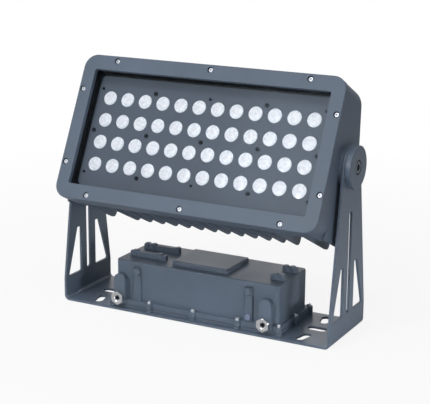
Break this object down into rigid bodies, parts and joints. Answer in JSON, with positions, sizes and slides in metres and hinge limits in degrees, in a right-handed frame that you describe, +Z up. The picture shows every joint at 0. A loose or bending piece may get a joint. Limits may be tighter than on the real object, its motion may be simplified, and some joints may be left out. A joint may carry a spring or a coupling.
{
  "type": "led flood light",
  "caption": "Rectangular flood light: a finned cast head with a grid of lenses behind a framed window, tilting in a sheet yoke whose base carries a sealed driver box.",
  "frame": {"origin": "centre of the yoke base's underside", "axes": "+X to the lamp's right seen from the front and along the tilt axis, the lit face looks to -Y, +Z up"},
  "size_m": [0.4864, 0.2253, 0.3961],
  "materials": {
    "painted_cast": "powder coat, fine satin texture",
    "painted_sheet": "powder coat, fine satin texture",
    "stainless": "plain, bright",
    "nickel": "nickel plate",
    "seal_rubber": "matte",
    "window": "clear, tempered",
    "lens_plastic": "clear moulded optic",
    "mask_sheet": "matte dark coating",
    "holder_plastic": "moulded",
    "board": "white solder mask",
    "emitter": "phosphor under silicone",
    "spacer": "turned",
    "potting": "cast compound in a case",
    "circuit": "solder mask",
    "terminal": "moulded",
    "standoff_brass": "turned",
    "vent": "moulded",
    "washer_plastic": "friction washer"
  },
  "bodies": {
    "yoke": {"yoke_bracket": "painted_sheet", "driver_bottom_plate": "painted_cast", "driver_gasket": "seal_rubber", "driver_housing": "painted_cast", "driver_screws": "stainless", "driver_mount_screws": "stainless", "driver_vent": "vent", "power_supply": "potting", "led_driver": "potting", "control_board": "circuit", "control_standoffs": "standoff_brass", "control_screws": "stainless", "terminal_block": "terminal", "front_left_gland_body": "nickel", "front_left_gland_nut": "nickel", "front_left_gland_seal": "seal_rubber", "front_right_gland_body": "nickel", "front_right_gland_nut": "nickel", "front_right_gland_seal": "seal_rubber", "rear_gland_body": "nickel", "rear_gland_nut": "nickel", "rear_gland_seal": "seal_rubber"},
    "head": {"bezel": "painted_cast", "bezel_screws": "stainless", "front_glass": "window", "glass_gasket": "seal_rubber", "lens_mask": "mask_sheet", "mask_screws_large": "stainless", "mask_screws_small": "stainless", "mask_spacers": "spacer", "led_board_screws": "stainless", "heatsink_housing": "painted_cast", "head_vent": "vent", "head_gland_body": "nickel", "head_gland_nut": "nickel", "head_gland_seal": "seal_rubber", "left_friction_washer": "washer_plastic", "right_friction_washer": "washer_plastic", "lens_row_1": "lens_plastic", "lens_row_2": "lens_plastic", "lens_row_3": "lens_plastic", "lens_row_4": "lens_plastic", "lens_holders_left": "holder_plastic", "led_board_left": "board", "leds_left": "emitter", "lens_holders_right": "holder_plastic", "led_board_right": "board", "leds_right": "emitter"},
    "left_clamp": {"left_clamp_disc": "painted_cast", "left_clamp_washer": "stainless"},
    "left_bolt": {"left_clamp_bolt": "stainless"},
    "right_clamp": {"right_clamp_disc": "painted_cast", "right_clamp_washer": "stainless"},
    "right_bolt": {"right_clamp_bolt": "stainless"}
  },
  "joints": [
    {"name": "head_tilt", "type": "hinge", "parent": "yoke", "child": "head", "pos_m": [0, 0, 0.26404], "axis": [-1, 0, 0], "range_deg": [-116.3, 63.7]},
    {"name": "left_clamp_release", "type": "slide", "parent": "head", "child": "left_clamp", "axis": [-1, 0, 0], "range_m": [0, 0.0018]},
    {"name": "left_bolt_turn", "type": "hinge", "parent": "left_clamp", "child": "left_bolt", "pos_m": [-0.2374, 0, 0.26404], "axis": [-1, 0, 0], "range_deg": [0, 360]},
    {"name": "right_clamp_release", "type": "slide", "parent": "head", "child": "right_clamp", "axis": [1, 0, 0], "range_m": [0, 0.0018]},
    {"name": "right_bolt_turn", "type": "hinge", "parent": "right_clamp", "child": "right_bolt", "pos_m": [0.2374, 0, 0.26404], "axis": [1, 0, 0], "range_deg": [0, 360]}
  ],
  "couplings": [
    {"joint": "left_clamp_release", "follows": "left_bolt_turn", "m_per_rad": 0.00027852},
    {"joint": "right_clamp_release", "follows": "right_bolt_turn", "m_per_rad": 0.00027852}
  ]
}
